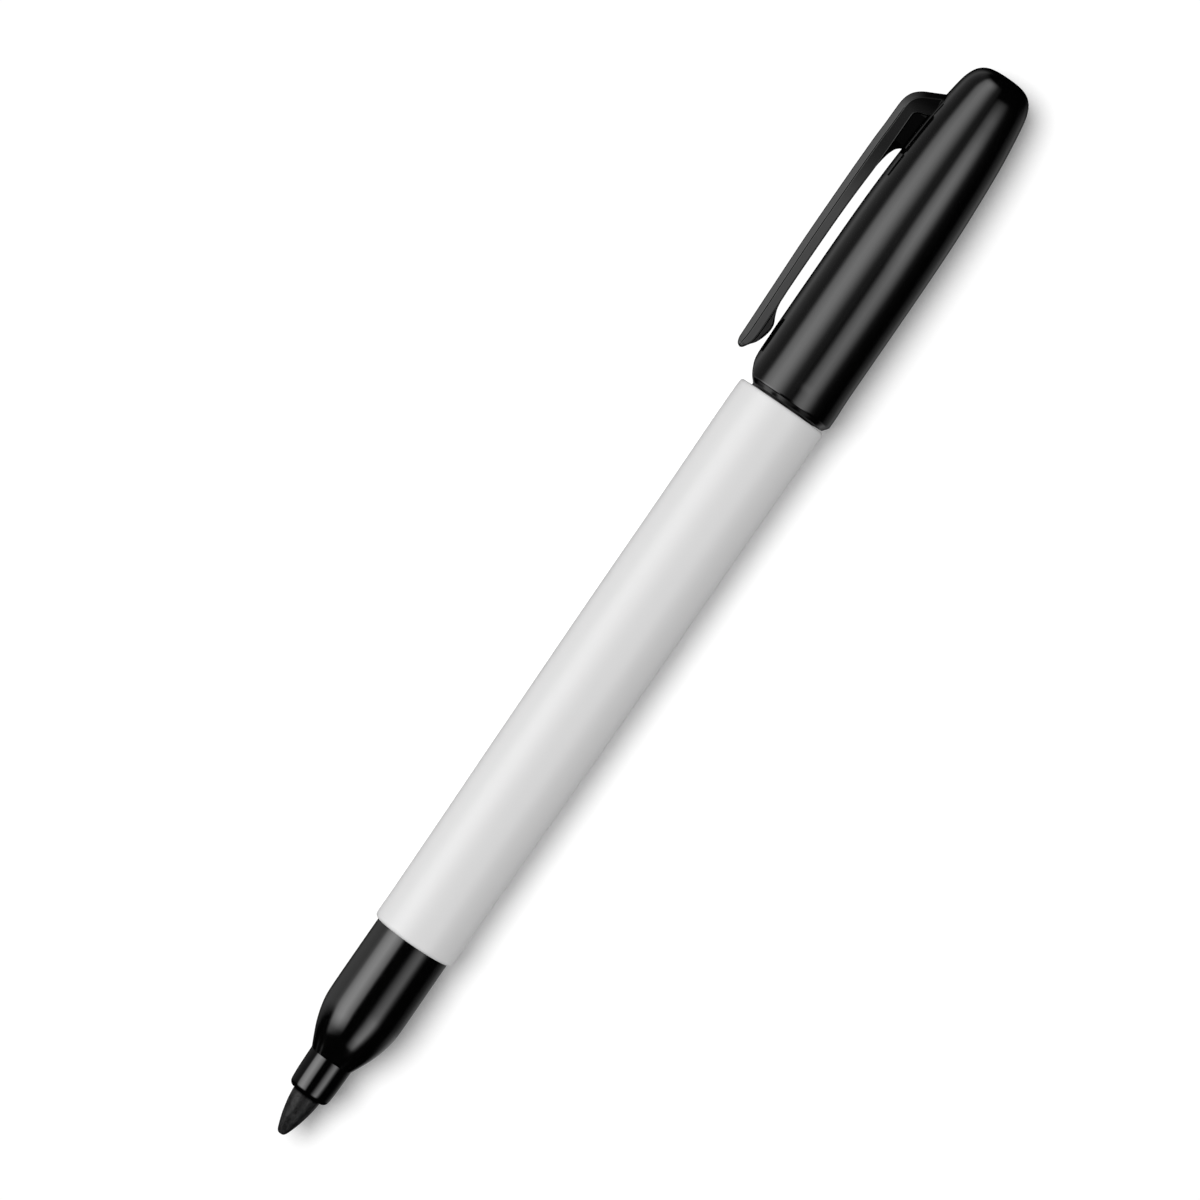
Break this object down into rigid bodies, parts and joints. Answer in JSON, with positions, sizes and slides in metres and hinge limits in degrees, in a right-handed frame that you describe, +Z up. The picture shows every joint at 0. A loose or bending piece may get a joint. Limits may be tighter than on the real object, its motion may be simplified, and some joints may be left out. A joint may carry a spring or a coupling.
{
  "type": "permanent marker",
  "caption": "Round bullet-nib permanent marker with a pale barrel, a dark grip and nib collar, and a dark clipped cap pushed onto its back end.",
  "frame": {"origin": "bottom centre of the whole, on the surface that the marker lies on", "axes": "+X along the pen axis from the nib to the cap's crown, +Y towards the clip, +Z up from the surface it lies on"},
  "size_m": [0.1518, 0.0152, 0.0122],
  "materials": {
    "white_plastic": "satin moulded polypropylene",
    "black_plastic": "polished moulded polypropylene",
    "nib_fibre": "pressed fibre soaked with ink",
    "core_fibre": "ink-soaked wadding",
    "film": "thin clear film",
    "liner_plastic": "soft natural polyethylene"
  },
  "bodies": {
    "pen": {"barrel": "white_plastic", "front_section": "black_plastic", "nib": "nib_fibre", "reservoir_core": "core_fibre", "reservoir_sleeve": "film", "tail_plug": "black_plastic"},
    "cap": {"cap_shell": "black_plastic", "seal_liner": "liner_plastic"},
    "clip": {"clip_arm": "black_plastic"}
  },
  "joints": [
    {"name": "cap_pull", "type": "slide", "parent": "pen", "child": "cap", "axis": [1, 0, 0], "range_m": [0, 0.04]},
    {"name": "clip_flex", "type": "hinge", "parent": "cap", "child": "clip", "pos_m": [0.06159, 0.00653, 0.0061], "axis": [0, 0, -1], "range_deg": [0, 6], "stiffness_Nm_per_rad": 0.38}
  ]
}
